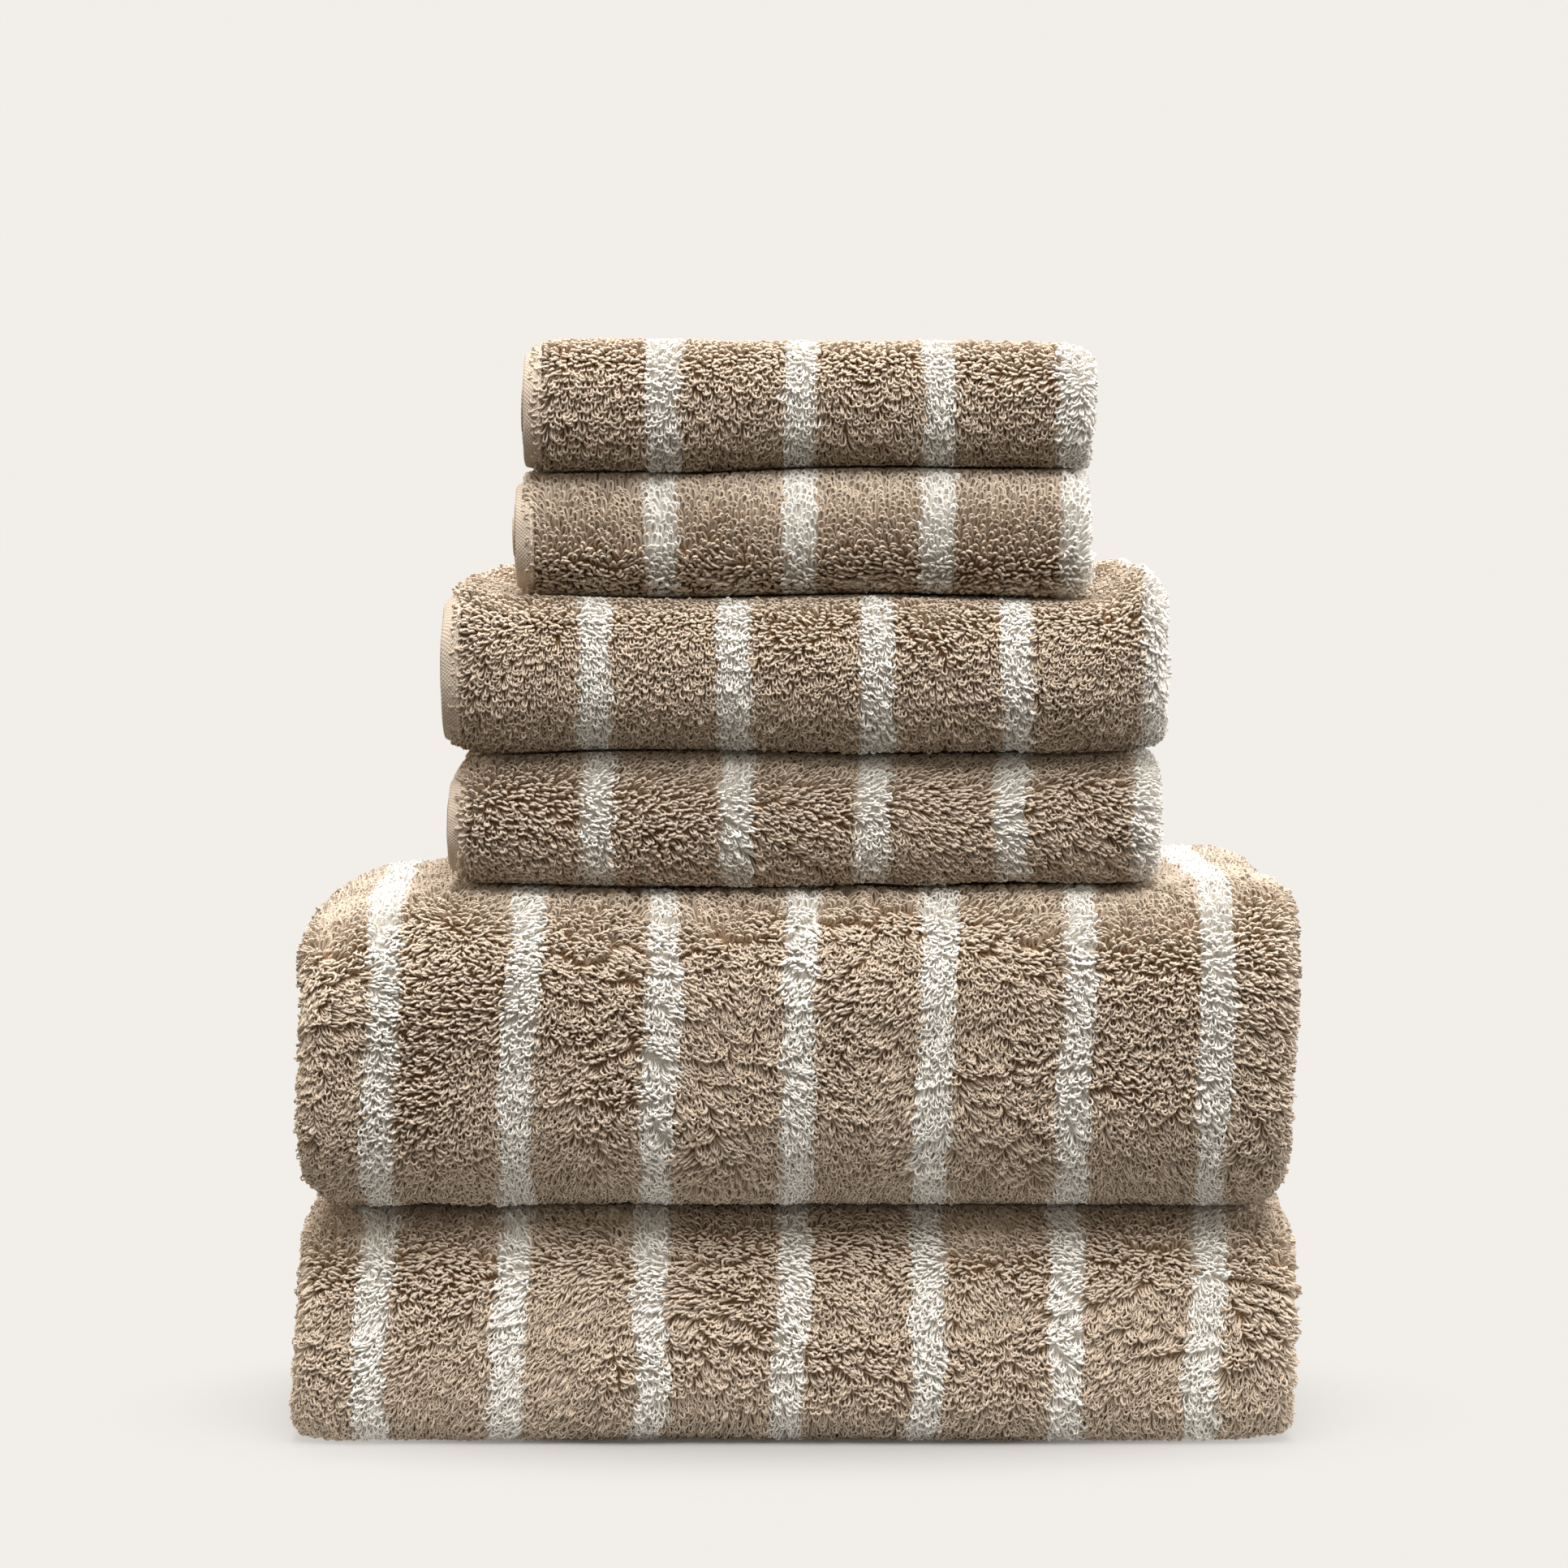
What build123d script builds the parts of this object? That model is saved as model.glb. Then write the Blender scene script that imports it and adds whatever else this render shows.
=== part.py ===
from build123d import *
import os

# Bath towel set: two bath towels, two hand towels and two small towels, folded and stacked.
# Millimetres. X runs along the front folds, -Y is the front of the pile, +Z is up.

# Size of the cloth, open and flat: width across the stripes, length along them.
BATH_CLOTH = (700.0, 1400.0)
HAND_CLOTH = (500.0, 900.0)
SMALL_CLOTH = (400.0, 600.0)

# Every towel is doubled across its width first, so the pile shows half the cloth's width.
BATH_WIDTH = BATH_CLOTH[0] / 2 - 2
HAND_WIDTH = HAND_CLOTH[0] / 2 - 2
SMALL_WIDTH = SMALL_CLOTH[0] / 2

# Then it is folded along its length: bath towels in thirds and in half, the others in quarters.
BATH_FOLDS = 3
HAND_FOLDS = 2
SMALL_FOLDS = 2
BATH_DEPTH = BATH_CLOTH[1] / (2 * BATH_FOLDS)
HAND_DEPTH = HAND_CLOTH[1] / (2 * HAND_FOLDS)
SMALL_DEPTH = SMALL_CLOTH[1] / (2 * SMALL_FOLDS)

LAYER_GAP = 0.5  # air between two layers of one folded towel
TOWEL_GAP = 0.4  # air between one towel and the next
HEM_WIDTH = 6.5  # turned and sewn edge along both long sides
HEM_THICK = 2.4
END_HEM_LENGTH = 8.0  # turned and sewn edge across both short ends
SEAM_GAP = 0.5  # between the two side hems where a bath towel's edges meet
FRONT = -BATH_DEPTH / 2

# name, cloth width as folded, folded depth, nested folds, height, nose radius, centre x, setback
TOWELS = (
    ("bath_towel_lower", BATH_WIDTH, BATH_DEPTH, BATH_FOLDS, 85.5, 36.0, 0.3, 0.0),
    ("bath_towel_upper", BATH_WIDTH, BATH_DEPTH, BATH_FOLDS, 109.5, 42.0, -0.3, 0.0),
    ("hand_towel_lower", HAND_WIDTH, HAND_DEPTH, HAND_FOLDS, 48.0, 22.0, 4.2, 7.0),
    ("hand_towel_upper", HAND_WIDTH, HAND_DEPTH, HAND_FOLDS, 53.0, 24.0, 4.5, 7.0),
    ("small_towel_lower", SMALL_WIDTH, SMALL_DEPTH, SMALL_FOLDS, 43.5, 20.0, 3.5, 18.0),
    ("small_towel_upper", SMALL_WIDTH, SMALL_DEPTH, SMALL_FOLDS, 44.5, 20.0, 5.3, 18.0),
)

EXPORT_DIR = "parts"


class Folded:
    """One folded towel: the numbers its cloth, side hems and end hems are drawn from."""

    def __init__(self, width, depth, folds, height, nose, centre, setback, floor):
        self.width = width
        self.depth = depth
        self.folds = folds
        self.height = height
        self.nose = nose
        self.left = centre - width / 2
        self.centre = centre
        self.front = FRONT + setback
        self.back = self.front + depth
        self.floor = floor
        # one layer is the doubled cloth; the outer U holds every other U
        self.layer = (height - (2 * folds - 1) * LAYER_GAP) / (2 * folds)
        self.pitch = self.layer + LAYER_GAP

    def layer_z(self, index):
        """Height of the middle of a layer, counted from the top one."""
        return self.floor + self.height - self.layer / 2 - index * self.pitch

    def nose_radius(self, fold):
        """Radius of the front fold of one U, at the middle of its cloth; 0 is the outer U."""
        half_height = (self.folds - fold - 0.5) * self.pitch
        concentric = self.nose - self.layer / 2 - fold * self.pitch
        return max(self.pitch / 2, min(half_height, concentric))


def fold_path(towel, shift=0.0, start_trim=0.0, end_trim=0.0):
    """The route of the doubled cloth in side view, as (y, z).

    It starts at the free end on top of the pile's back, turns round the front, comes back
    along the bottom, and goes on inwards through the nested folds to the other free end.
    shift moves it off the middle of the cloth, towards the face that shows on the outside.
    """
    turn_back = towel.back - towel.layer / 2 - towel.pitch / 2
    y = towel.back - start_trim
    z = towel.layer_z(0) + shift
    heading = -1
    upper = 0
    lower = 2 * towel.folds - 1
    with BuildLine() as route:
        for fold in range(towel.folds):
            radius = towel.nose_radius(fold)
            nose_y = towel.front + towel.layer / 2 + fold * towel.pitch + radius
            spin = 1 if fold % 2 == 0 else -1
            inner = radius + spin * shift
            tall = towel.layer_z(upper) - towel.layer_z(lower) - 2 * radius
            straight = Line((y, z), (nose_y, z))
            bend = JernArc(straight @ 1, (-1, 0), inner, spin * 90)
            if tall > 0.01:
                face = Line(bend @ 1, bend @ 1 - Vector(0, spin * tall))
                bend = JernArc(face @ 1, (0, -spin), inner, spin * 90)
            else:
                bend = JernArc(bend @ 1, (0, -spin), inner, spin * 90)
            y = nose_y
            z = (bend @ 1).Y
            last = fold == towel.folds - 1
            stop = towel.back - end_trim if last else turn_back
            back_run = Line((y, z), (stop, z))
            if not last:
                around = towel.pitch / 2 + spin * shift
                turn = JernArc(back_run @ 1, (1, 0), around, spin * 180)
                y = turn_back
                z = (turn @ 1).Y
                upper, lower = (upper + 1, lower - 1)
    return route.line


def make_cloth(towel, open_left):
    """The terry cloth, without its hems, folded; the side hems lie in the room left for them."""
    trim = END_HEM_LENGTH
    left = towel.left + HEM_WIDTH if open_left else towel.left
    with BuildPart() as cloth:
        with BuildSketch(Plane.YZ.offset(left)):
            trace(fold_path(towel, 0, trim, trim), line_width=towel.layer)
        extrude(amount=towel.left + towel.width - left)
        if not open_left:
            room = 2 * HEM_WIDTH + SEAM_GAP
            inside = HEM_THICK / 2 - towel.layer / 2
            with BuildSketch(Plane.YZ.offset(towel.centre - room / 2)):
                trace(fold_path(towel, inside, trim, trim), line_width=HEM_THICK)
            extrude(amount=room, mode=Mode.SUBTRACT)
    return cloth.part


def make_side_hem(towel, open_left, first):
    """One long side's hem. It runs along the fold path with the ply that it edges."""
    if open_left:
        left = towel.left
        ply = towel.layer / 4 if first else -towel.layer / 4
    else:
        left = towel.centre + SEAM_GAP / 2
        if first:
            left = towel.centre - SEAM_GAP / 2 - HEM_WIDTH
        ply = HEM_THICK / 2 - towel.layer / 2
    with BuildPart() as hem:
        with BuildSketch(Plane.YZ.offset(left)):
            route = fold_path(towel, ply, END_HEM_LENGTH, END_HEM_LENGTH)
            trace(route, line_width=HEM_THICK)
        extrude(amount=HEM_WIDTH)
    return hem.part


def make_end_hem(towel, open_left, layer, face):
    """One short end's hem, round the doubled cloth; face is +1 where its outside looks up."""
    ply = towel.layer / 4
    z = towel.layer_z(layer)
    right = towel.left + towel.width - HEM_THICK / 2 - ply
    with BuildPart() as hem:
        with BuildSketch(Plane.XZ.offset(-towel.back)):
            with BuildLine() as loop:
                if open_left:
                    top = Line((towel.left, z + ply), (right, z + ply))
                    side = JernArc(top @ 1, (1, 0), ply, -180)
                    Line(side @ 1, (towel.left, z - ply))
                else:
                    left = towel.left + HEM_THICK / 2 + ply
                    seam = towel.centre - SEAM_GAP / 2
                    inner = Line((seam, z - face * ply), (left, z - face * ply))
                    side = JernArc(inner @ 1, (-1, 0), ply, -face * 180)
                    outer = Line(side @ 1, (right, z + face * ply))
                    other = JernArc(outer @ 1, (1, 0), ply, -face * 180)
                    Line(other @ 1, (seam + SEAM_GAP, z - face * ply))
            trace(loop.line, line_width=HEM_THICK)
        extrude(amount=END_HEM_LENGTH)
    return hem.part


def save(part, name):
    part.label = name
    export_step(part, f"{EXPORT_DIR}/{name}.step")


def main():
    os.makedirs(EXPORT_DIR, exist_ok=True)
    floor = 0.0
    for name, width, depth, folds, height, nose, centre, setback in TOWELS:
        towel = Folded(width, depth, folds, height, nose, centre, setback, floor)
        open_left = folds == 2  # bath towels have both sides folded in to the middle instead
        last_layer = folds if folds % 2 else folds - 1
        save(make_cloth(towel, open_left), f"{name}_cloth")
        save(make_side_hem(towel, open_left, True), f"{name}_side_hem_one")
        save(make_side_hem(towel, open_left, False), f"{name}_side_hem_two")
        save(make_end_hem(towel, open_left, 0, 1), f"{name}_end_hem_outer")
        save(make_end_hem(towel, open_left, last_layer, -1), f"{name}_end_hem_inner")
        floor += height + TOWEL_GAP


main()
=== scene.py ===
import math

import bpy
import numpy as np
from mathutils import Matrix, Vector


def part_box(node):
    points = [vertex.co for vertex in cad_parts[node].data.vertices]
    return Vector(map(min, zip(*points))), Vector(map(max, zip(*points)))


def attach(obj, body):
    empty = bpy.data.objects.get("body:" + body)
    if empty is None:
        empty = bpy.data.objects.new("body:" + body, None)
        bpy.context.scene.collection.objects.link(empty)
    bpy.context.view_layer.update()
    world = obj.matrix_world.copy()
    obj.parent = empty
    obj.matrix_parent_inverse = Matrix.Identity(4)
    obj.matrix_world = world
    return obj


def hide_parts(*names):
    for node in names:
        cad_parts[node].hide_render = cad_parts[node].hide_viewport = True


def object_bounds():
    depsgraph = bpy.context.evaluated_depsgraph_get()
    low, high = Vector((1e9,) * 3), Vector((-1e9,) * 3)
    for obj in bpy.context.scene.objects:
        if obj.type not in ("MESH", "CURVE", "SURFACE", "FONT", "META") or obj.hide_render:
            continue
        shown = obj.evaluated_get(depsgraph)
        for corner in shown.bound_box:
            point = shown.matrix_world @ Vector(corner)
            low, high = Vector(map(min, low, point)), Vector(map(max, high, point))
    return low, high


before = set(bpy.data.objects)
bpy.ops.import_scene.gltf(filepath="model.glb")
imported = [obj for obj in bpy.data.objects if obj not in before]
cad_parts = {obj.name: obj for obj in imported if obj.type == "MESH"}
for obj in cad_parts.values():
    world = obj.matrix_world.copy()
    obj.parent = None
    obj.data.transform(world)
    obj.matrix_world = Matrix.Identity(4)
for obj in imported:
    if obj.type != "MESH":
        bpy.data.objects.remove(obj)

# Bath towel set: six folded terry towels. Metres; -Y is the front, +Z is up.
# Each towel is one cloth (a sheet), its four hems, and its pile, which is made loop by loop.

MM = 0.001
UP = np.array([0.0, 0.0, 1.0])
CAD_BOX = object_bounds()

LAYER_GAP = 0.5 * MM  # air between the layers of one folded towel, as in CAD
HEM_WIDTH = 6.5 * MM
HEM_THICK = 1.4 * MM
HEM_RAISED = (0.6, 0.2)  # how far the two side hems stand off the ground, as shares of the pile
END_HEM = 8.0 * MM
PLAIN_EDGE = 12.0 * MM  # no stripe starts nearer to the left hem than this
STRIPE_PITCH = 48.0 * MM
STRIPE_WIDTH = 11.5 * MM
PUFF_REACH = 15.0 * MM  # how far from the towel on it a top is at its full rise


def rgb(r, g, b):
    """A linear colour from 0-255 display values."""
    return tuple(((c / 255 + 0.055) / 1.055) ** 2.4 for c in (r, g, b)) + (1.0,)


# ---------------------------------------------------------------- fold geometry


class FoldLine:
    """A flat line of straight runs and arcs. at(s) gives its place and heading at a length s."""

    def __init__(self, start, heading, runs):
        self.starts, self.bends, self.places, self.headings = [], [], [], []
        place, s = np.array(start, float), 0.0
        for length, bend in runs:
            self.starts.append(s)
            self.bends.append(bend)
            self.places.append(place)
            self.headings.append(heading)
            place = self._step(place, heading, bend, length)
            heading += bend * length
            s += length
        self.length = s
        self.starts, self.bends = np.array(self.starts), np.array(self.bends)
        self.places, self.headings = np.array(self.places), np.array(self.headings)

    @staticmethod
    def _step(place, heading, bend, length):
        if bend == 0:
            return place + length * np.array([math.cos(heading), math.sin(heading)])
        end = heading + bend * length
        turn = np.array([math.sin(end) - math.sin(heading), math.cos(heading) - math.cos(end)])
        return place + turn / bend

    def at(self, s):
        k = np.clip(np.searchsorted(self.starts, s, "right") - 1, 0, len(self.starts) - 1)
        along, bend, head = s - self.starts[k], self.bends[k], self.headings[k]
        end = head + bend * along
        curved = bend != 0
        by = np.where(curved, bend, 1.0)
        a = np.where(curved, (np.sin(end) - np.sin(head)) / by, along * np.cos(head))
        b = np.where(curved, (np.cos(head) - np.cos(end)) / by, along * np.sin(head))
        return self.places[k, 0] + a, self.places[k, 1] + b, end


class Noise:
    """Smooth seeded noise over a plane, from -1 to 1, with bumps about `size` across."""

    def __init__(self, seed, size, cells=61):
        self.grid = np.random.default_rng(seed).uniform(-1, 1, (cells, cells))
        self.size, self.cells = size, cells

    def __call__(self, a, b):
        a, b = a / self.size, b / self.size
        i, j = np.floor(a).astype(int), np.floor(b).astype(int)
        f, g = a - i, b - j
        f, g = f * f * (3 - 2 * f), g * g * (3 - 2 * g)
        pick = lambda m, n: self.grid[(i + m) % self.cells, (j + n) % self.cells]
        low = pick(0, 0) * (1 - f) + pick(1, 0) * f
        high = pick(0, 1) * (1 - f) + pick(1, 1) * f
        return low * (1 - g) + high * g


class Tufts:
    """Seeded tufts over a plane: the way to the nearest tuft's middle, and how that tuft leans."""

    def __init__(self, seed, size, cells=97):
        rng = np.random.default_rng(seed)
        self.middle = rng.uniform(0, 1, (2, cells, cells))
        self.lean = rng.uniform(-1, 1, (2, cells, cells))
        self.size, self.cells = size, cells

    def __call__(self, a, b):
        a, b = a / self.size, b / self.size
        i, j = np.floor(a).astype(int), np.floor(b).astype(int)
        best = np.full(np.shape(a), 9.0)
        found = [np.zeros_like(a) for _ in range(4)]
        for m in (-1, 0, 1):
            for n in (-1, 0, 1):
                p, q = (i + m) % self.cells, (j + n) % self.cells
                da, db = i + m + self.middle[0][p, q] - a, j + n + self.middle[1][p, q] - b
                nearer = da * da + db * db < best
                best = np.where(nearer, da * da + db * db, best)
                values = (da, db, self.lean[0][p, q], self.lean[1][p, q])
                found = [np.where(nearer, new, old) for new, old in zip(values, found)]
        return found


# a towel's own shape, in millimetres where it is a length
SHAPE = {
    "slant": 0,  # how far the top of the front leans sideways
    "bulge": 1,  # how far the front swells in its middle
    "recess": 0,  # how far the whole front stands back
    "brow": 0,  # how far the top of the front stands back
    "sag": 0,  # how far the bottom of the front sags on to the towel below
    "square": 2,  # power of the curve at the foot of the front: 2 is round, more is squarer
    "stretch": 1.0,  # how much wider than in CAD it is
    "puffs": (0, 0, 0),  # how far the top rises left of, right of and behind the towel on it
    "crown": 0,  # how much the loops at the top of the front lean forward
}


class Towel:
    """One folded towel. u runs across the cloth, v along it, and h stands off its face."""

    def __init__(self, name, seed, flat, folds, nose, pile, nap, ends, stripe, **shape):
        self.name, self.seed, self.flat, self.folds, self.pile = name, seed, flat, folds, pile
        self.nap, self.ends = nap, [[value * MM for value in end] for end in ends]
        shape = {**SHAPE, **shape}
        self.slant, self.bulge, self.recess, self.brow, self.sag = (
            shape[key] * MM for key in ("slant", "bulge", "recess", "brow", "sag")
        )
        self.puffs = [value * MM for value in shape["puffs"]]
        self.square, self.stretch, self.crown = shape["square"], shape["stretch"], shape["crown"]
        self.nose = nose
        self.both_sides = folds == 3  # bath towels have both edges folded in to the middle
        low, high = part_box(f"{name}_cloth")
        hem_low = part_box(f"{name}_side_hem_one")[0]
        self.left = low[0] if self.both_sides else hem_low[0]
        self.right, self.front, self.back = high[0], low[1], high[1]
        self.floor, self.top = low[2], high[2]
        self.height, self.centre = self.top - self.floor, (self.left + self.right) / 2
        self.layer = (self.height - (2 * folds - 1) * LAYER_GAP) / (2 * folds)
        self.pitch = self.layer + LAYER_GAP
        self.ply = self.layer / 2 - pile.height  # the woven ground is this far off the middle
        self.cross = self._cross_fold()
        self.route = self._length_fold(nose)
        self.stripe = stripe * MM + (self.cross.length / 2 if self.both_sides else 0)
        self.below, self.above = None, None
        self.wave = Noise(seed, 70 * MM)
        self.edge = Noise(seed + 1, 45 * MM)
        self.tufts = Tufts(seed + 2, (10.0 if self.both_sides else 7.5) * MM)

    def _cross_fold(self):
        """The first fold: the cloth doubled across its width."""
        a, end = self.ply, self.right - self.layer / 2
        turn = (math.pi * a, -1 / a)
        if not self.both_sides:
            run = (end - self.left, 0)
            return FoldLine((self.left, a), 0.0, [run, turn, run])
        start, meet = self.left + self.layer / 2, self.centre - 0.2 * MM
        half = (meet - start, 0)
        return FoldLine((meet, -a), math.pi, [half, turn, (end - start, 0), turn, half])

    def _length_fold(self, nose):
        """The second fold, in side view: nested front folds joined at the back, as in CAD."""
        runs, self.marks = [], {}
        turn_back = self.back - self.layer / 2 - self.pitch / 2
        y, s, upper, lower = self.back, 0.0, 0, 2 * self.folds - 1
        for fold in range(self.folds):
            room = (self.folds - fold - 0.5) * self.pitch
            radius = max(self.pitch / 2, min(room, nose - self.layer / 2 - fold * self.pitch))
            spin = 1 if fold % 2 == 0 else -1
            nose_y = self.front + self.layer / 2 + fold * self.pitch + radius
            tall = (lower - upper) * self.pitch - 2 * radius
            quarter = (radius * math.pi / 2, spin / radius)
            start = s + y - nose_y
            last = fold == self.folds - 1
            stop = self.back if last else turn_back
            runs += [(y - nose_y, 0), quarter, (max(tall, 0.0), 0), quarter, (stop - nose_y, 0)]
            s = start + 2 * quarter[0] + max(tall, 0.0)
            self.marks[f"front{fold}"] = (start, s)
            s += stop - nose_y
            if not last:
                half_turn = math.pi * self.pitch / 2
                runs.append((half_turn, 2 * spin / self.pitch))
                self.marks[f"back{fold}"] = (s, s + half_turn)
                s += half_turn
                y, upper, lower = turn_back, upper + 1, lower - 1
        return FoldLine((self.back, self.top - self.layer / 2), math.pi, runs)

    def place(self, u, v, h=0.0):
        """Where a point of the cloth is, on the pile of towels."""
        x, n, across = self.cross.at(u)
        x, n = x - h * np.sin(across), n + h * np.cos(across)
        y, z, along = self.route.at(v)
        loose = np.exp(-np.minimum(u, self.cross.length - u) / (14 * MM)) * (not self.both_sides)
        inner = 0.5 * MM * (u > self.cross.length / 2)
        x = x + loose * (0.9 * MM * self.edge(v, u * 0 + 1.0) - 0.5 * MM - inner)
        return self.settle(x, y + n * np.sin(along), z - n * np.cos(along))

    def settle(self, x, y, z):
        """The soft shape of the whole towel: rounded ends, a slanted, uneven front, shared beds."""
        y, z = self.squared(y, z)
        tall = np.clip((z - self.floor) / self.height, -0.1, 1.1)
        deep = np.clip((y - self.front) / (self.back - self.front), 0, 1)
        dz, dx, dy = np.zeros_like(z), np.zeros_like(z), np.zeros_like(z)
        for side, (reach, drop, rise, pinch) in zip((-1, 1), self.ends):
            edge = self.left if side < 0 else self.right
            q = np.clip(1 - side * (edge - x) / reach, 0, 1.15)
            dz += -drop * q**2.4 * tall**1.5 + rise * q**2.4 * (1 - tall) ** 1.5
            dx += -side * pinch * q * (1 - tall) ** 2
            pull = 3.0 * MM if side > 0 or self.both_sides else 0.8 * MM
            dy += pull * q**2.2 * (1 - deep)
        face = np.exp(-deep * 5)
        dx += self.slant * (tall - 0.5) * face + (self.stretch - 1) * (x - self.centre)
        dy += self.brow * face * np.clip(tall, 0, 1) ** 4
        aside = (x - self.centre) / (self.right - self.centre)
        dy += (self.recess - self.bulge * (1 - aside**2)) * face
        dy += 1.6 * MM * self.wave(x, z + 0.3) * face
        dx += 0.8 * MM * self.wave(z * 1.3, y + 0.7) * np.clip(1.4 * tall, 0, 1)
        bed = self.bed(x, y) * (1 - tall)
        if self.above:
            lid = self.above.bed(x, y) + self.puff(x, y)
        else:
            lid = 0.9 * MM * self.wave(x, y)
        return np.stack([x + dx, y + dy, z + dz + bed + lid * tall], -1)

    def squared(self, y, z):
        """Presses the fold at the foot of the front squarer than round."""
        a = np.maximum(self.front + self.nose - y, 0)
        b = np.maximum(self.floor + self.nose - z, 0)
        inside = (a > 0) & (b > 0)
        a, b, power = np.where(inside, a, 1), np.where(inside, b, 1), self.square
        far = np.maximum(np.hypot(a, b), 1e-9)
        grow = ((a / far) ** power + (b / far) ** power) ** (-1 / power) - 1
        return y - np.where(inside, a * grow, 0), z - np.where(inside, b * grow, 0)

    def puff(self, x, y):
        """How far the top stands up where no other towel presses on it."""
        past = (self.above.left - x, x - self.above.right, y - self.above.back)
        left, right, behind = (np.clip(d / PUFF_REACH, 0, 1) ** 2 for d in past)
        rise = self.puffs[0] * left + self.puffs[1] * right
        return rise + self.puffs[2] * behind * (1 - left) * (1 - right)

    def bed(self, x, y):
        """How far the face that this towel lies on is from flat."""
        if self.below is None:
            return np.zeros_like(x)
        ripple = np.sin(2 * math.pi * (y / (26 * MM) + self.wave(x, y)))
        front = np.exp(-np.clip((y - self.front) / (self.back - self.front), 0, 1) * 5)
        across = (x - self.centre) / (self.right - self.centre)
        sag = -self.sag * front * (1 + 0.6 * across**4)
        return sag + 1.5 * MM * self.wave(x + 0.11, y * 0.6 + 0.05) + 0.45 * MM * ripple

    def covers(self, x, y, margin=3 * MM):
        """True where this towel lies over a point."""
        inside = (x > self.left + margin) & (x < self.right - margin)
        return inside & (y > self.front + 3 * margin) & (y < self.back - margin)

    def rests(self, x, y):
        """True where this towel has something under it."""
        return np.ones_like(x, bool) if self.below is None else self.below.covers(x, y)

    def pressed(self, centres):
        """Heights of loop points, kept between the towel above and whatever is below."""
        x, y, z = centres[..., 0], centres[..., 1], centres[..., 2]
        clear = self.pile.yarn + 0.1 * MM
        low = self.floor + self.bed(x, y) + clear
        z = np.where(self.rests(x, y), np.maximum(z, low), z)
        if self.above:
            high = self.top + self.above.bed(x, y) - clear
            z = np.where(self.above.covers(x, y), np.minimum(z, high), z)
        return z

    def frames(self, u, v, side):
        """Places on the ground cloth, with the outward normal and the two directions along it."""
        step = 0.4 * MM
        at = self.place(u, v)
        out = unit(self.place(u, v, side * step) - at)
        across = self.place(u + step, v) - at
        across = unit(across - dot(across, out) * out)
        return at, out, across, np.cross(out, across)

    def cream(self, u):
        """True on a stripe."""
        off = np.mod(u - self.stripe + STRIPE_PITCH / 2, STRIPE_PITCH) - STRIPE_PITCH / 2
        return (np.abs(off) < STRIPE_WIDTH / 2) & (u > PLAIN_EDGE)


def dot(a, b):
    return np.sum(a * b, -1, keepdims=True)


def unit(a):
    return a / np.maximum(np.sqrt(dot(a, a)), 1e-12)


# ---------------------------------------------------------------- materials


def principled(name, colour, rough=0.9, sheen=0.0):
    mat = bpy.data.materials.new(name)
    mat.use_nodes = True
    shader = mat.node_tree.nodes["Principled BSDF"]
    shader.inputs["Base Color"].default_value = colour
    shader.inputs["Roughness"].default_value = rough
    shader.inputs["Specular IOR Level"].default_value = 0.1
    shader.inputs["Sheen Weight"].default_value = sheen
    shader.inputs["Sheen Roughness"].default_value = 0.5
    return mat


TAUPE = (0.600, 0.488, 0.376)
CREAM = (0.950, 0.912, 0.850)


def tones(name, base, spread):
    """A few yarns of slightly different shade; each loop of the pile takes one of them."""
    mats = []
    for k, shade in enumerate(spread):
        colour = tuple(min(c * shade, 0.95) for c in base) + (1.0,)
        mats.append(principled(f"{name}_{k + 1}", colour))
    return mats


TAUPE_YARNS = tones("yarn_taupe", TAUPE, (0.86, 0.93, 1.0, 1.07, 1.15))
CREAM_YARNS = tones("yarn_cream", CREAM, (0.92, 0.97, 1.0, 1.03))
YARNS = TAUPE_YARNS + CREAM_YARNS


def woven(name, base, other, striped, thread):
    """Plain weave: crossing threads from two waves along the cloth, with stripes if asked."""
    mat = principled(name, base)
    nodes, links = mat.node_tree.nodes, mat.node_tree.links
    shader = nodes["Principled BSDF"]
    uv = nodes.new("ShaderNodeUVMap")
    uv.uv_map = "cloth"
    split = nodes.new("ShaderNodeSeparateXYZ")
    links.new(uv.outputs[0], split.inputs[0])

    def maths(kind, a, b=None):
        node = nodes.new("ShaderNodeMath")
        node.operation = kind
        for socket, value in zip(node.inputs, (a, b)):
            if value is None:
                continue
            if isinstance(value, (int, float)):
                socket.default_value = value
            else:
                links.new(value, socket)
        return node.outputs[0]

    turns = 2 * math.pi / thread
    weft = maths("SINE", maths("MULTIPLY", split.outputs[0], turns))
    warp = maths("SINE", maths("MULTIPLY", split.outputs[1], turns))
    cloth = maths("MULTIPLY", weft, warp)
    fleck = nodes.new("ShaderNodeTexNoise")
    fleck.inputs["Scale"].default_value = 900
    fleck.inputs["Detail"].default_value = 3
    mix = nodes.new("ShaderNodeMix")
    mix.data_type = "RGBA"
    mix.inputs["A"].default_value = base
    mix.inputs["B"].default_value = other
    level = maths("ADD", maths("MULTIPLY", cloth, 0.45), fleck.outputs[0])
    links.new(level, mix.inputs["Factor"])
    colour = mix.outputs["Result"]
    if striped:
        near = maths("PINGPONG", split.outputs[0], STRIPE_PITCH / 2)
        band = maths("LESS_THAN", near, STRIPE_WIDTH / 2)
        white = nodes.new("ShaderNodeMix")
        white.data_type = "RGBA"
        links.new(band, white.inputs["Factor"])
        links.new(colour, white.inputs["A"])
        white.inputs["B"].default_value = CREAM + (1.0,)
        colour = white.outputs["Result"]
    links.new(colour, shader.inputs["Base Color"])
    bump = nodes.new("ShaderNodeBump")
    bump.inputs["Strength"].default_value = 0.6
    bump.inputs["Distance"].default_value = 0.25 * MM
    links.new(maths("ADD", cloth, fleck.outputs[0]), bump.inputs["Height"])
    links.new(bump.outputs[0], shader.inputs["Normal"])
    return mat


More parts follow.
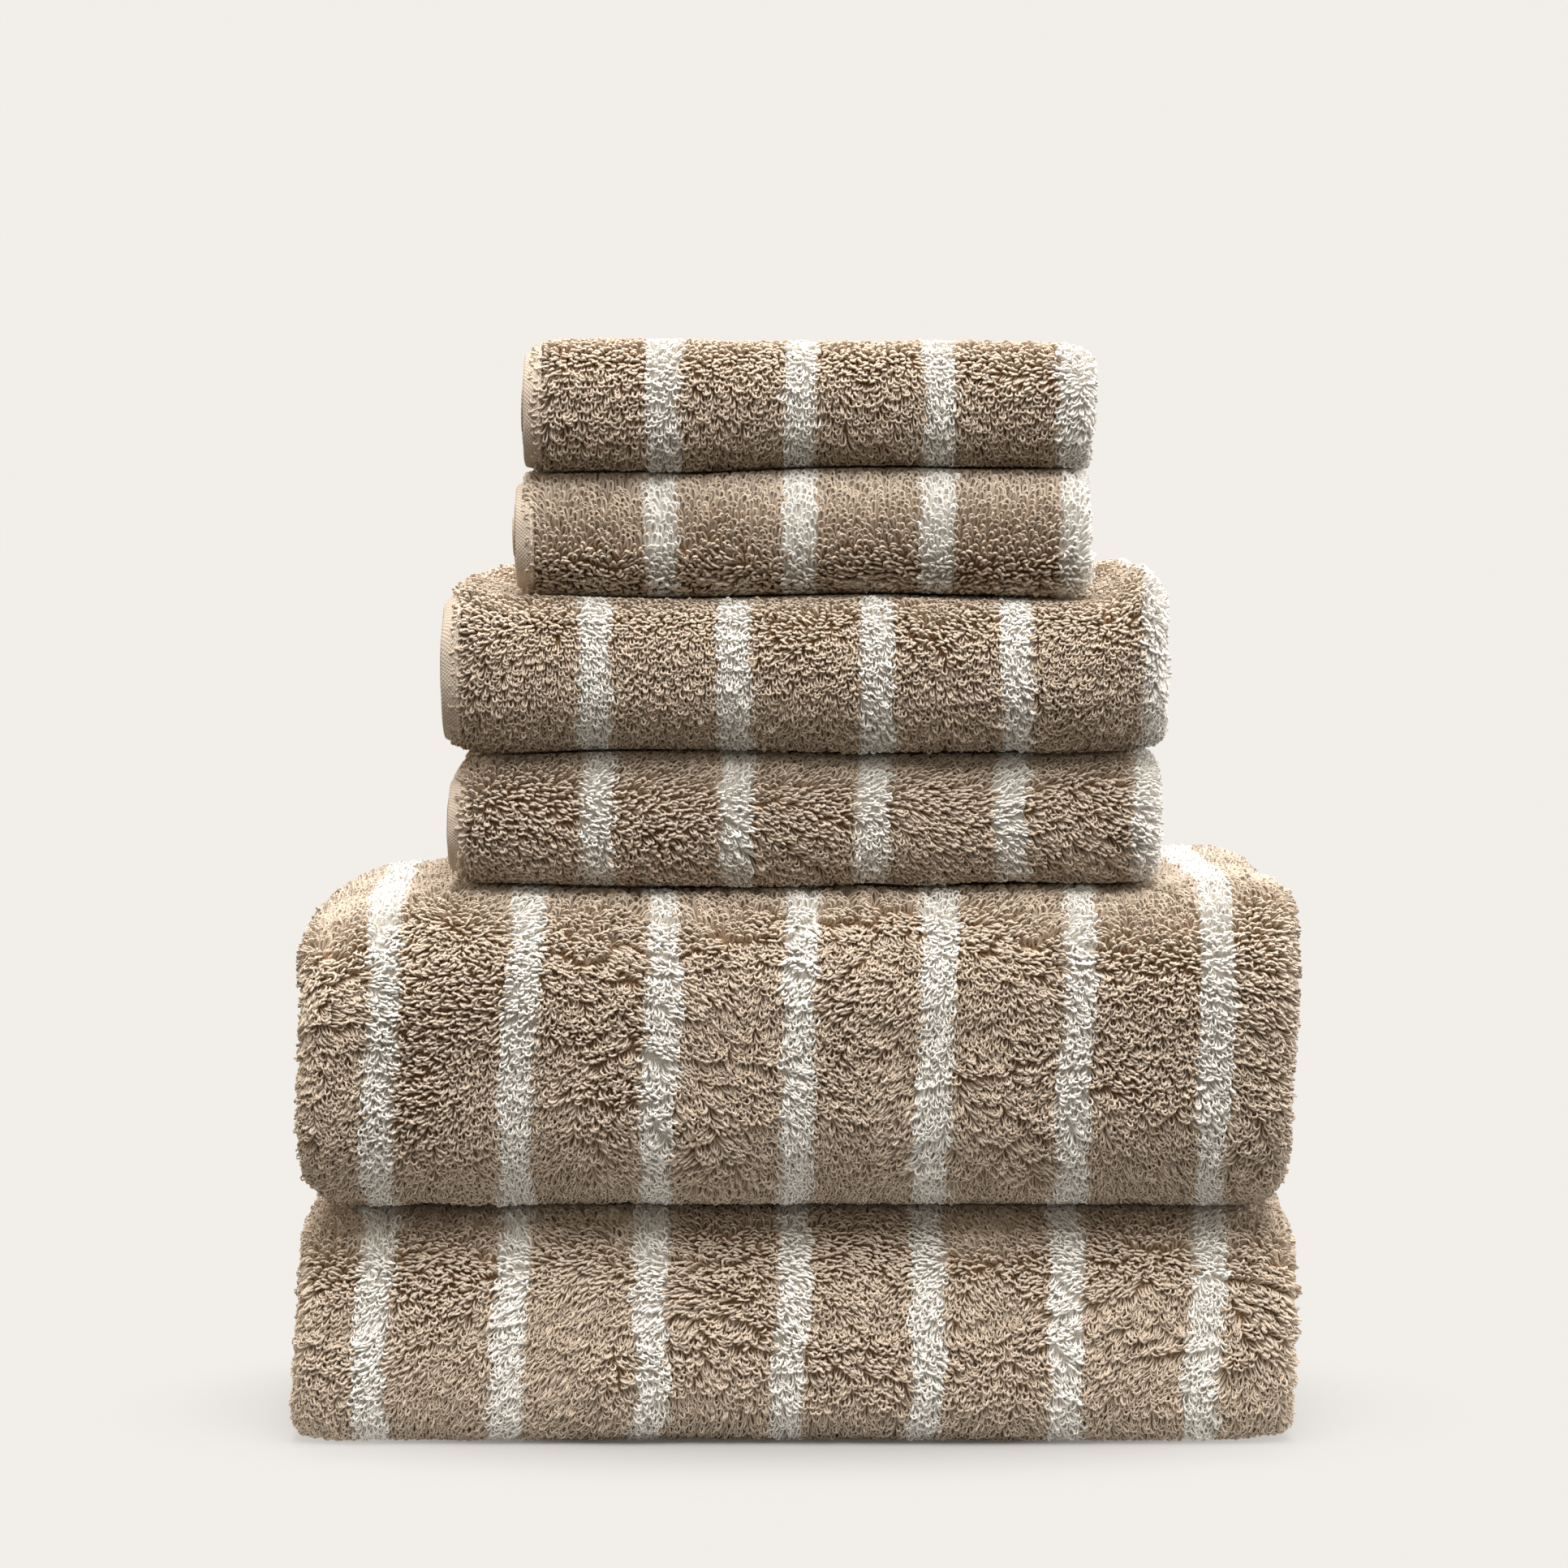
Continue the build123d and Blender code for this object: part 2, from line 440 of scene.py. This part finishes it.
# the ground's two taupes are painted darker and warmer than the yarns: painted shade between the
# loops, where the ground shows; its cream stripes keep the yarns' own colour
GROUND_PAINTED_SHADE = woven("ground_weave", rgb(158, 122, 88), rgb(128, 95, 64), True, 1.1 * MM)
HEM = woven("hem_weave", rgb(230, 214, 195), rgb(160, 141, 121), False, 1.25 * MM)
THREAD = principled("sewing_thread", rgb(222, 208, 190), 0.6, 0.1)


# ---------------------------------------------------------------- meshes


def make_mesh(name, verts, faces, mats, tone=None, uv=None):
    """A smooth mesh from arrays; every face has the same number of corners."""
    mesh = bpy.data.meshes.new(name)
    verts, faces = np.asarray(verts, np.float32).reshape(-1, 3), np.asarray(faces, np.int32)
    count, corners = faces.shape
    mesh.vertices.add(len(verts))
    mesh.vertices.foreach_set("co", verts.ravel())
    mesh.loops.add(faces.size)
    mesh.loops.foreach_set("vertex_index", faces.ravel())
    mesh.polygons.add(count)
    mesh.polygons.foreach_set("loop_start", np.arange(0, faces.size, corners, dtype=np.int32))
    mesh.polygons.foreach_set("use_smooth", np.ones(count, bool))
    if tone is not None:
        mesh.polygons.foreach_set("material_index", np.asarray(tone, np.int32))
    for mat in mats:
        mesh.materials.append(mat)
    if uv is not None:
        layer = mesh.uv_layers.new(name="cloth")
        layer.data.foreach_set("uv", np.asarray(uv, np.float32)[faces.ravel()].ravel())
    mesh.update(calc_edges=True)
    obj = bpy.data.objects.new(name, mesh)
    bpy.context.scene.collection.objects.link(obj)
    return obj


def grid_faces(rows, columns, closed=False):
    """Quads over a grid of rows x columns points; closed joins the last column to the first."""
    j = np.arange(columns if closed else columns - 1)
    i = np.arange(rows - 1)[:, None] * columns
    return np.stack(
        [i + j, i + (j + 1) % columns, i + columns + (j + 1) % columns, i + columns + j], -1
    ).reshape(-1, 4)


def fold_steps(line, straight, curved, start=0.0, stop=None):
    """Lengths along a fold line, close together on its arcs and wide apart on its runs."""
    stop = line.length if stop is None else stop
    ends = np.append(line.starts[1:], line.length)
    steps = [start]
    for begin, end, bend in zip(line.starts, ends, line.bends):
        a, b = max(begin, start), min(end, stop)
        if b - a > 1e-6:
            count = max(1, round((b - a) / (curved if bend else straight)))
            steps += list(a + (b - a) * np.arange(1, count + 1) / count)
    return np.array(steps)


def ground_cloth(towel):
    """The woven ground of the towel, the whole cloth in one sheet, folded."""
    v_stop = towel.route.length
    us = fold_steps(towel.cross, 6 * MM, 1.2 * MM)
    vs = fold_steps(towel.route, 5 * MM, 2 * MM, END_HEM / 2, v_stop - END_HEM / 2)
    u, v = (a.ravel() for a in np.meshgrid(us, vs))
    uv = np.stack([np.where(u < PLAIN_EDGE, 10 * MM, u - towel.stripe + 40 * STRIPE_PITCH), v], -1)
    return make_mesh(
        f"{towel.name}_ground", towel.place(u, v), grid_faces(len(vs), len(us)), [GROUND_PAINTED_SHADE], uv=uv
    )


def section(width, thick, corners=3):
    """A flat band's cross-section with rounded edges, as (across, off) points."""
    a = np.linspace(-math.pi / 2, math.pi / 2, corners + 2)
    right = np.stack([width / 2 - thick / 2 + np.cos(a) * thick / 2, np.sin(a) * thick / 2], -1)
    return np.concatenate([right, -right])


def side_hem(towel, first):
    """The turned edge along one long side of the cloth; stitches() draws its row of stitches."""
    u0 = 0.0 if first else towel.cross.length
    inward = 1 if first else -1
    band = section(HEM_WIDTH, HEM_THICK)
    vs = fold_steps(towel.route, 4 * MM, 1.4 * MM, 0.4 * MM, towel.route.length - 0.4 * MM)
    u = (u0 + inward * (HEM_WIDTH / 2 + band[:, 0]))[None].repeat(len(vs), 0)
    raised = HEM_RAISED[0 if first else 1] * towel.pile.height
    h = (raised + band[:, 1])[None].repeat(len(vs), 0)
    v = vs[:, None].repeat(len(band), 1)
    points = towel.place(u.ravel(), v.ravel(), h.ravel())
    uv = np.stack([u.ravel(), v.ravel()], -1)
    name = f"{towel.name}_side_hem_{'left' if first else 'right'}"
    return make_mesh(name, points, grid_faces(len(vs), len(band), True), [HEM], uv=uv)


def end_hem(towel, outer):
    """The turned edge across one short end of the cloth."""
    v0 = 0.0 if outer else towel.route.length
    inward = 1 if outer else -1
    band = section(END_HEM, HEM_THICK)
    us = fold_steps(towel.cross, 5 * MM, 0.8 * MM, 0.3 * MM, towel.cross.length - 0.3 * MM)
    v = (v0 + inward * (END_HEM / 2 + band[:, 0]))[None].repeat(len(us), 0)
    h = band[:, 1][None].repeat(len(us), 0) * 1.15
    u = us[:, None].repeat(len(band), 1)
    points = towel.place(u.ravel(), v.ravel(), h.ravel())
    uv = np.stack([u.ravel(), v.ravel()], -1)
    name = f"{towel.name}_end_hem_{'outer' if outer else 'inner'}"
    return make_mesh(name, points, grid_faces(len(us), len(band), True), [HEM], uv=uv)


def stitches(towel):
    """The rows of stitches that hold the hems down, on the outside of each hem."""
    pitch, long, thick = 3.4 * MM, 2.4 * MM, 0.3 * MM
    top = HEM_THICK / 2 + 0.5 * thick
    rows = []
    sides = (HEM_WIDTH - MM, towel.cross.length - HEM_WIDTH + MM)
    for u0, raised in zip(sides, HEM_RAISED):
        v = np.arange(END_HEM, towel.route.length - END_HEM, pitch)
        rows.append((v * 0 + u0, v, raised * towel.pile.height + top, (0, 1)))
    for v0 in (END_HEM - 1.2 * MM, towel.route.length - END_HEM + 1.2 * MM):
        u = np.arange(HEM_WIDTH, towel.cross.length - HEM_WIDTH, pitch)
        rows.append((u, u * 0 + v0, top * 1.1, (1, 0)))
    points = []
    for u, v, h, (du, dv) in rows:
        for along, sink in ((-0.5, 0.3 * MM), (0, 0), (0.5, 0.3 * MM)):
            for aside, off in ((-1, 0), (0, 1), (1, 0), (0, -1)):
                pu = u + du * along * long + dv * aside * thick
                pv = v + dv * along * long + du * aside * thick
                points.append(towel.place(pu, pv, h + off * thick - sink))
    counts = [len(row[0]) for row in rows]
    verts = [np.stack(points[12 * k : 12 * k + 12], 1).reshape(-1, 3) for k in range(len(rows))]
    one = grid_faces(3, 4, True)
    faces = (np.arange(sum(counts))[:, None, None] * 12 + one).reshape(-1, 4)
    return make_mesh(f"{towel.name}_stitches", np.concatenate(verts), faces, [THREAD])


# ---------------------------------------------------------------- pile


class Pile:
    """How a towel's loops stand: their height, yarn, spacing and lean."""

    def __init__(self, height, length, half, yarn, across, along, droop, clump, turn):
        self.height = height  # how far the loops lift the surface off the ground cloth
        self.length = length  # of one loop, root to tip
        self.half = half  # half of a loop's width
        self.yarn = yarn  # its radius
        self.across, self.along = across, along  # spacing of the loops
        self.droop = droop  # how much they hang
        self.clump = clump  # how hard they lean together in tufts
        self.turn = turn  # how much the loops are turned about themselves, in radians


# how high up the loop and how wide it is, from root round the tip to root; sides of the yarn
FINE = (((0, 0.5), (0.55, 0.95), (0.88, 0.85), (1, 0.3)), 3)
PLAIN = (((0, 0.5), (0.7, 1.0), (1, 0.4)), 3)
ROUGH = (((0, 0.7), (1, 0.6)), 3)
PIECE_FACES = 96000  # a piece of pile has no more than this


def loop_points(towel, u, v, side, profile, rng):
    """The ring points of a batch of loops: loop, station along the yarn, side of the yarn."""
    shape, sides = profile
    pile = towel.pile
    count = len(u)
    at, out, across, along = towel.frames(u, v, side)
    sizes = (24 * MM, 24 * MM, 9 * MM, 40 * MM)
    drift = [Noise(towel.seed + 10 + k, size) for k, size in enumerate(sizes)]
    to_u, to_v, lean_u, lean_v = towel.tufts(u, 1.6 * v)
    clump, sway = pile.clump * (1 + 0.9 * drift[3](u, v)), 2 * pile.clump
    lean_u = clump * (to_u + 0.7 * lean_u) + sway * drift[0](u, v) + 0.16 * rng.normal(size=count)
    lean_v = clump * (to_v + 0.7 * lean_v) + sway * drift[1](u, v) + 0.16 * rng.normal(size=count)
    top = towel.marks["front0"][0]
    lean_u = lean_u + towel.nap[0]
    lean_v = lean_v - towel.nap[1] - towel.crown * np.clip(1 - (v - top) / (30 * MM), 0, 1)
    if not towel.both_sides:
        lean_u = lean_u - 0.8 * np.exp(-(u - HEM_WIDTH) / (2.5 * MM))
    down = -UP - dot(-UP, out) * out
    grow = unit(out + lean_u[:, None] * across - lean_v[:, None] * along + pile.droop * down)
    length = (pile.length * (1 + 0.1 * rng.normal(size=count)))[:, None]
    turn = pile.turn * (0.8 * drift[2](u, v) + 0.5 * rng.normal(size=count))[:, None]
    wide = unit(np.cos(turn) * across + np.sin(turn) * along)
    wide = unit(wide - dot(wide, grow) * grow)
    face = np.cross(grow, wide)
    spin = (0.5 * rng.normal(size=count))[:, None]
    half = (pile.half * (1 + 0.18 * rng.normal(size=count)))[:, None]
    stations = [(s, w) for s, w in shape] + [(s, -w) for s, w in shape[::-1]]
    centres = []
    for s, w in stations:
        axis = at + length * (s * grow - s * s * pile.droop * 0.45 * UP)
        turned = np.cos(spin * s) * wide + np.sin(spin * s) * face
        centres.append(axis + half * w * turned)
    centres = np.stack(centres, 1)
    centres[..., 2] = towel.pressed(centres)
    ahead = np.concatenate([centres[:, 1:], centres[:, -1:]], 1)
    behind = np.concatenate([centres[:, :1], centres[:, :-1]], 1)
    forward = unit(ahead - behind)
    flat = unit(face[:, None] - dot(face[:, None], forward) * forward)
    edge = np.cross(forward, flat)
    angle = np.arange(sides) * 2 * math.pi / sides
    ring = np.cos(angle)[:, None] * flat[:, :, None] + np.sin(angle)[:, None] * edge[:, :, None]
    radius = pile.yarn * (1 + 0.1 * rng.normal(size=(count, 1, 1, 1)))
    return centres[:, :, None] + radius * ring


def spread(towel, u_range, v_range, rng, scale):
    """Loop roots over a patch of cloth, in even rows on the surface as it is folded."""
    pile = towel.pile
    stand = 0.5 * pile.height
    us = np.linspace(*u_range, 400)
    vs = np.linspace(*v_range, 900)
    mid_u, mid_v = np.full_like(vs, np.mean(u_range)), np.full_like(us, np.mean(v_range))
    lengths = []
    for a, b in ((us, mid_v), (mid_u, vs)):
        path = towel.place(a, b, stand)
        lengths.append(np.append(0, np.cumsum(np.linalg.norm(np.diff(path, axis=0), axis=1))))
    columns = max(1, round(lengths[0][-1] / (pile.across * scale)))
    rows = max(1, round(lengths[1][-1] / (pile.along * scale)))
    u = np.interp((np.arange(columns) + 0.5) / columns * lengths[0][-1], lengths[0], us)
    v = np.interp((np.arange(rows) + 0.5) / rows * lengths[1][-1], lengths[1], vs)
    u, v = (a.ravel() for a in np.meshgrid(u, v))
    u = u + rng.normal(size=u.size) * pile.across * scale * 0.16
    v = v + rng.normal(size=v.size) * pile.along * scale * 0.16
    return u, v


def pile_pieces(towel, label, u, v, side, profile, rng):
    """Builds loops at the given roots, as one or more pieces of a size that exports whole."""
    shape, sides = profile
    stations = 2 * len(shape)
    per_loop = (stations - 1) * sides
    batch = PIECE_FACES // per_loop
    made = []
    for part, start in enumerate(range(0, len(u), batch)):
        pu, pv = u[start : start + batch], v[start : start + batch]
        points = loop_points(towel, pu, pv, side, profile, rng)
        one = grid_faces(stations, sides, True)
        faces = (np.arange(len(pu))[:, None, None] * stations * sides + one).reshape(-1, 4)
        cream = towel.cream(pu + rng.normal(size=len(pu)) * 0.35 * MM)
        shade = np.where(
            cream,
            len(TAUPE_YARNS) + rng.integers(0, len(CREAM_YARNS), len(pu)),
            rng.integers(0, len(TAUPE_YARNS), len(pu)),
        )
        name = f"{towel.name}_pile_{label}_{part + 1}"
        made.append(make_mesh(name, points, faces, YARNS, np.repeat(shade, per_loop)))
    return made


def grow_pile(towel):
    """All of a towel's pile that can be seen, finest on its front."""
    rng = np.random.default_rng(towel.seed + 50)
    cross, marks, made = towel.cross, towel.marks, []
    bare = HEM_WIDTH - 1.3 * MM
    ends = np.append(cross.starts[1:], cross.length)
    arcs = [(start, end) for start, end, bend in zip(cross.starts, ends, cross.bends) if bend]
    outer = (bare, arcs[0][1]) if len(arcs) == 1 else (arcs[0][0], arcs[1][1])
    top, nose_end = marks["front0"]
    front = (top - 26 * MM, nose_end + 3 * MM)
    patches = [
        ("front", outer, front, PLAIN if towel.both_sides else FINE, 1.0),
        ("under", outer, (front[1], front[1] + 40 * MM), ROUGH, 1.35),
        ("top", outer, (END_HEM, front[0]), ROUGH, 1.2),
    ]
    a, b = marks["back0"]
    patches.append(("back", outer, (a - 5 * MM, b + 3 * MM), ROUGH, 1.2))
    if towel.both_sides:
        a, b = marks["back1"]
        for k, edges in enumerate(((bare, arcs[0][1]), (arcs[-1][0], cross.length - bare))):
            patches.append((f"inner_{k + 1}", edges, (a - 3 * MM, b + 3 * MM), ROUGH, 1.2))
    rolled = (nose_end + 3 * MM, towel.route.length - END_HEM)
    for k, (a, b) in enumerate(arcs):
        patches.append((f"roll_{k + 1}", (a - 3 * MM, b + 3 * MM), rolled, ROUGH, 1.35))
    if not towel.both_sides:
        whole = (END_HEM, towel.route.length - END_HEM)
        for k, u0 in enumerate((HEM_WIDTH, cross.length - HEM_WIDTH - 5 * MM)):
            patches.append((f"inside_{k + 1}", (u0, u0 + 5 * MM), whole, ROUGH, 1.4))
            patches.append((f"edge_{k + 1}", (u0, u0 + 5 * MM), rolled, ROUGH, 1.4))
    for label, u_range, v_range, profile, scale in patches:
        u, v = spread(towel, u_range, v_range, rng, scale)
        if label == "top" and towel.above:
            at = towel.place(u, v)
            hidden = towel.above.covers(at[:, 0], at[:, 1], 8 * MM)
            seen = ~hidden | (rng.random(len(u)) < 0.4)
            u, v = u[seen], v[seen]
        side = -1 if "inside" in label else 1
        made += pile_pieces(towel, label, u, v, side, profile, rng)
    return made


# ---------------------------------------------------------------- the six towels

BATH, HAND, SMALL = (0.7, 1.4), (0.5, 0.9), (0.4, 0.6)
BATH_PILE = Pile(4.0 * MM, 4.6 * MM, 0.98 * MM, 0.46 * MM, 1.85 * MM, 1.6 * MM, 0.18, 0.36, 0.6)
HAND_PILE = Pile(3.4 * MM, 4.1 * MM, 0.82 * MM, 0.46 * MM, 1.9 * MM, 1.6 * MM, 0.1, 0.24, 0.5)
SMALL_PILE = Pile(3.0 * MM, 4.1 * MM, 0.88 * MM, 0.49 * MM, 2.1 * MM, 1.75 * MM, 0.1, 0.24, 0.5)
SMALL_PILE_UP = Pile(3.0 * MM, 4.1 * MM, 0.9 * MM, 0.49 * MM, 2.1 * MM, 1.75 * MM, -0.2, 0.28, 0.5)

# name, seed, flat size, folds, nose radius, pile, nap, (reach, top drop, bottom rise, bottom
# pinch) of the left and right end, place of the first stripe, and its own shape
TOWELS = [
    Towel(
        "bath_towel_lower", 100, BATH, 3, 36 * MM, BATH_PILE, (-0.15, -0.4),
        ((28, 11, 4, 0), (28, 11, 4, 0)), -2.0, slant=4, recess=10, stretch=1.011, square=3.2,
        brow=14,
    ),
    Towel(
        "bath_towel_upper", 200, BATH, 3, 42 * MM, BATH_PILE, (0.1, -0.35),
        ((38, 18, 9, 6), (24, 8, 8, 1)), 1.0, slant=5, bulge=4, recess=-1, sag=7,
        stretch=1.006, puffs=(-2, 3, 0), crown=1.0,
    ),
    Towel(
        "hand_towel_lower", 300, HAND, 2, 22 * MM, HAND_PILE, (0.5, 0.0),
        ((22, 8, 4, 0), (16, 4, 3, 0)), 2.5, slant=1, recess=9, brow=3,
    ),
    Towel(
        "hand_towel_upper", 400, HAND, 2, 24 * MM, HAND_PILE, (-0.1, -0.7),
        ((22, 12, 5, 0), (20, 20, 3, 0)), 3.5, slant=1, sag=2, stretch=1.024, puffs=(9, 15, 8),
    ),
    Towel(
        "small_towel_lower", 500, SMALL, 2, 20 * MM, SMALL_PILE_UP, (-0.2, 0.9),
        ((14, 4, 2, 0), (16, 1, 3, 0)), 2.5, recess=1, stretch=1.006,
    ),
    Towel(
        "small_towel_upper", 600, SMALL, 2, 20 * MM, SMALL_PILE, (0.0, -0.9),
        ((16, 5, 2, 0), (16, 6, 0, 0)), 1.1, sag=1,
    ),
]
for lower, upper in zip(TOWELS, TOWELS[1:]):
    lower.above, upper.below = upper, lower

for towel in TOWELS:
    name = towel.name
    ground = ground_cloth(towel)
    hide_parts(f"{name}_cloth")
    hems = []
    for first, node in ((True, "one"), (False, "two")):
        hem = side_hem(towel, first)
        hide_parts(f"{name}_side_hem_{node}")
        hems.append(hem)
    for outer, node in ((True, "outer"), (False, "inner")):
        hem = end_hem(towel, outer)
        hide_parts(f"{name}_end_hem_{node}")
        hems.append(hem)
    seams = stitches(towel)
    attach(seams, name)
    pile = grow_pile(towel)
    for piece in [ground] + pile:
        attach(piece, name)
    for hem in hems:
        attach(hem, name)

# ---------------------------------------------------------------- stage, light and camera

scene = bpy.context.scene
scene.view_settings.view_transform = "Standard"
GAMMA = 1.18  # lifts the shadows a little; the backdrop's colour allows for it
scene.view_settings.gamma = GAMMA
BACKDROP = tuple(c**GAMMA for c in rgb(242, 238, 233))
WARM, WHITE = (1, 0.88, 0.74), (1, 1, 1)
DOME = 1.05  # the overhead softbox, brightest straight up

world = bpy.data.worlds.new("studio")
scene.world = world
world.use_nodes = True
nodes, links = world.node_tree.nodes, world.node_tree.links
seen = nodes["Background"]
seen.inputs["Color"].default_value = BACKDROP
lit = nodes.new("ShaderNodeBackground")
lit.inputs["Color"].default_value = WARM + (1,)
sky, height, above, strength = (
    nodes.new(f"ShaderNode{kind}") for kind in ("TexCoord", "SeparateXYZ", "Math", "Math")
)
above.operation, strength.operation = "MAXIMUM", "MULTIPLY"
above.inputs[1].default_value = 0
strength.inputs[1].default_value = DOME
links.new(sky.outputs["Generated"], height.inputs[0])
links.new(height.outputs["Z"], above.inputs[0])
links.new(above.outputs[0], strength.inputs[0])
links.new(strength.outputs[0], lit.inputs["Strength"])
choose, path = nodes.new("ShaderNodeMixShader"), nodes.new("ShaderNodeLightPath")
links.new(path.outputs["Is Camera Ray"], choose.inputs[0])
links.new(lit.outputs[0], choose.inputs[1])
links.new(seen.outputs[0], choose.inputs[2])
links.new(choose.outputs[0], nodes["World Output"].inputs[0])

# name, azimuth (0 shines from the front), elevation, strength, spread and colour
SUNS = [
    ("front_softbox", 8, 66, 4.5, 50, WHITE),
    ("front_fill", 0, 12, 0.2, 40, WARM),
    ("top_strip", 180, 79, 1.8, 14, WHITE),
    ("side_left", -105, 15, 0.9, 60, WARM),
    ("side_right", 100, 15, 1.7, 60, WHITE),
]
# a round table, as bright in open light as the backdrop; it is lit from above under the pile and
# glows by itself towards its rim, so that only the contact shadow shows
TABLE = 0.26
level = DOME * 2 / 3 * np.array(WARM)
for _, _, elevation, power, _, colour in SUNS:
    level += power * math.sin(math.radians(elevation)) / math.pi * np.array(colour)
turn = np.linspace(0, 2 * math.pi, 65)[:-1]
rim = TABLE * np.stack([np.cos(turn), np.sin(turn), 0 * turn], -1)
paint = principled("table", tuple(BACKDROP[:3] / level) + (1,), 1.0)
nodes, links = paint.node_tree.nodes, paint.node_tree.links
plain = nodes["Principled BSDF"]
plain.inputs["Specular IOR Level"].default_value = 0
glow, blend = nodes.new("ShaderNodeEmission"), nodes.new("ShaderNodeMixShader")
glow.inputs["Color"].default_value = BACKDROP
spot, far, share = (
    nodes.new(f"ShaderNode{kind}") for kind in ("TexCoord", "VectorMath", "MapRange")
)
far.operation = "LENGTH"
limits = {"From Min": 0.12, "From Max": TABLE - 0.01, "To Min": 0.05, "To Max": 1.0}
for socket, value in limits.items():
    share.inputs[socket].default_value = value
links.new(spot.outputs["Object"], far.inputs[0])
links.new(far.outputs["Value"], share.inputs["Value"])
links.new(share.outputs[0], blend.inputs[0])
links.new(plain.outputs[0], blend.inputs[1])
links.new(glow.outputs[0], blend.inputs[2])
links.new(blend.outputs[0], nodes["Material Output"].inputs[0])
floor = make_mesh("floor", rim, [list(range(64))], [paint])

for name, azimuth, elevation, power, width, colour in SUNS:
    light = bpy.data.lights.new(name, "SUN")
    light.energy, light.angle, light.color = power, math.radians(width), colour
    lamp = bpy.data.objects.new(name, light)
    lamp.rotation_euler = (math.radians(90 - elevation), 0, math.radians(azimuth))
    scene.collection.objects.link(lamp)

camera = bpy.data.objects.new("camera", bpy.data.cameras.new("camera"))
scene.collection.objects.link(camera)
scene.camera = camera
DISTANCE = 2.5  # from the front of the pile
VIEW_WIDTH = 1932 * 0.281 * MM  # what the frame spans at the front of the pile
ASIDE, EYE_LEVEL, TILT_DOWN = -0.0036, 0.338, 2.425
SENSOR = 36
front = CAD_BOX[0][1]
camera.data.sensor_width = SENSOR
camera.data.lens = SENSOR * DISTANCE / VIEW_WIDTH
camera.location = (ASIDE, front - DISTANCE, EYE_LEVEL)
camera.rotation_euler = (math.radians(90 - TILT_DOWN), 0, 0)
